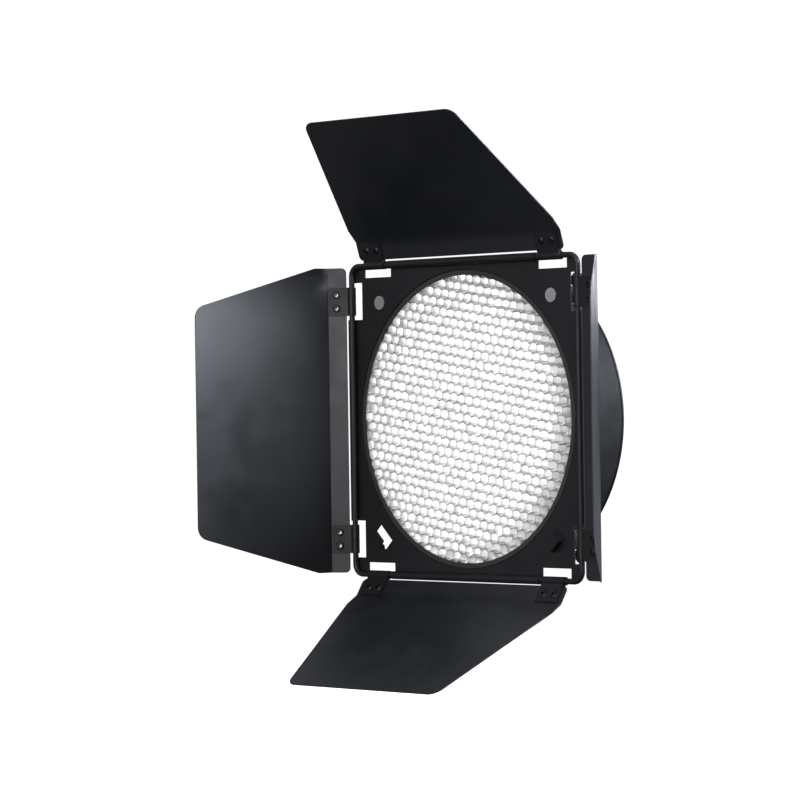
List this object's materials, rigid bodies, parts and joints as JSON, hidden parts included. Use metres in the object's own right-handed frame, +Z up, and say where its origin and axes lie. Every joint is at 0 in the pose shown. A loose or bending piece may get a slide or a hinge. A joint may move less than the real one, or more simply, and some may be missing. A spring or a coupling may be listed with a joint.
{
  "type": "barn door attachment",
  "caption": "Square lamp barn door with four folding sheet doors on a rod frame, a honeycomb grid and a clamp collar behind for a 7 inch reflector.",
  "frame": {"origin": "centre of the mounting collar's rear mouth, on the light's axis", "axes": "+Y points back out of the collar towards the lamp, so the light leaves along -Y; +Z is up, towards the top door; +X is to the right seen from the front"},
  "size_m": [0.2904, 0.1355, 0.3233],
  "materials": {
    "black_powder_coat": "satin",
    "black_door_coat": "satin",
    "black_clip_coat": "satin",
    "black_rod_coat": "satin",
    "dark_rivet": "satin",
    "nickel_magnet": "polished",
    "grey_grid_rim": "satin",
    "bright_honeycomb": "satin",
    "spring_steel": "satin",
    "zinc_screw": "satin",
    "black_knob": "matte",
    "pad_rubber": "matte"
  },
  "bodies": {
    "frame": {"face_plate": "black_powder_coat", "hinge_rod": "black_rod_coat", "mounting_collar": "black_powder_coat", "grid_rim": "grey_grid_rim", "honeycomb_core": "bright_honeycomb", "grid_retaining_ring": "spring_steel", "filter_magnet_left": "nickel_magnet", "filter_magnet_right": "nickel_magnet", "screw_boss_upper": "black_powder_coat", "screw_boss_lower": "black_powder_coat", "screw_boss_left": "black_powder_coat"},
    "top_door": {"top_door": "black_door_coat", "top_hinge_clip_1": "black_clip_coat", "top_hinge_clip_2": "black_clip_coat", "top_door_rivets": "dark_rivet"},
    "bottom_door": {"bottom_door": "black_door_coat", "bottom_hinge_clip_1": "black_clip_coat", "bottom_hinge_clip_2": "black_clip_coat", "bottom_door_rivets": "dark_rivet"},
    "left_door": {"left_door": "black_door_coat", "left_hinge_clip_1": "black_clip_coat", "left_hinge_clip_2": "black_clip_coat", "left_door_rivets": "dark_rivet"},
    "right_door": {"right_door": "black_door_coat", "right_hinge_clip_1": "black_clip_coat", "right_hinge_clip_2": "black_clip_coat", "right_door_rivets": "dark_rivet"},
    "clamp_pad_upper": {"clamp_pad_upper": "pad_rubber"},
    "clamp_screw_upper": {"clamp_screw_upper": "zinc_screw", "clamp_knob_upper": "black_knob"},
    "clamp_pad_lower": {"clamp_pad_lower": "pad_rubber"},
    "clamp_screw_lower": {"clamp_screw_lower": "zinc_screw", "clamp_knob_lower": "black_knob"},
    "clamp_pad_left": {"clamp_pad_left": "pad_rubber"},
    "clamp_screw_left": {"clamp_screw_left": "zinc_screw", "clamp_knob_left": "black_knob"}
  },
  "joints": [
    {"name": "top_door_hinge", "type": "hinge", "parent": "frame", "child": "top_door", "pos_m": [0, -0.0394, 0.0918], "axis": [-1, 0, 0], "range_deg": [-135.3, 53.2]},
    {"name": "bottom_door_hinge", "type": "hinge", "parent": "frame", "child": "bottom_door", "pos_m": [0, -0.0394, -0.0918], "axis": [1, 0, 0], "range_deg": [-120.6, 69.4]},
    {"name": "left_door_hinge", "type": "hinge", "parent": "frame", "child": "left_door", "pos_m": [-0.0918, -0.0394, 0], "axis": [0, 0, -1], "range_deg": [-102.6, 87.4]},
    {"name": "right_door_hinge", "type": "hinge", "parent": "frame", "child": "right_door", "pos_m": [0.0918, -0.0394, 0], "axis": [0, 0, 1], "range_deg": [-128.5, 60]},
    {"name": "clamp_pad_upper_slide", "type": "slide", "parent": "frame", "child": "clamp_pad_upper", "axis": [-0.6428, 0, -0.766], "range_m": [0, 0.004]},
    {"name": "clamp_screw_upper_turn", "type": "hinge", "parent": "clamp_pad_upper", "child": "clamp_screw_upper", "pos_m": [0.05785, -0.0093, 0.06894], "axis": [-0.6428, 0, -0.766], "range_deg": [0, 1800]},
    {"name": "clamp_pad_lower_slide", "type": "slide", "parent": "frame", "child": "clamp_pad_lower", "axis": [-0.6428, 0, 0.766], "range_m": [0, 0.004]},
    {"name": "clamp_screw_lower_turn", "type": "hinge", "parent": "clamp_pad_lower", "child": "clamp_screw_lower", "pos_m": [0.05785, -0.0093, -0.06894], "axis": [-0.6428, 0, 0.766], "range_deg": [0, 1800]},
    {"name": "clamp_pad_left_slide", "type": "slide", "parent": "frame", "child": "clamp_pad_left", "axis": [1, 0, 0], "range_m": [0, 0.004]},
    {"name": "clamp_screw_left_turn", "type": "hinge", "parent": "clamp_pad_left", "child": "clamp_screw_left", "pos_m": [-0.09, -0.0093, 0], "axis": [1, 0, 0], "range_deg": [0, 1800]}
  ],
  "couplings": [
    {"joint": "clamp_screw_upper_turn", "follows": "clamp_pad_upper_slide", "rad_per_m": 7854},
    {"joint": "clamp_screw_lower_turn", "follows": "clamp_pad_lower_slide", "rad_per_m": 7854},
    {"joint": "clamp_screw_left_turn", "follows": "clamp_pad_left_slide", "rad_per_m": 7854}
  ]
}
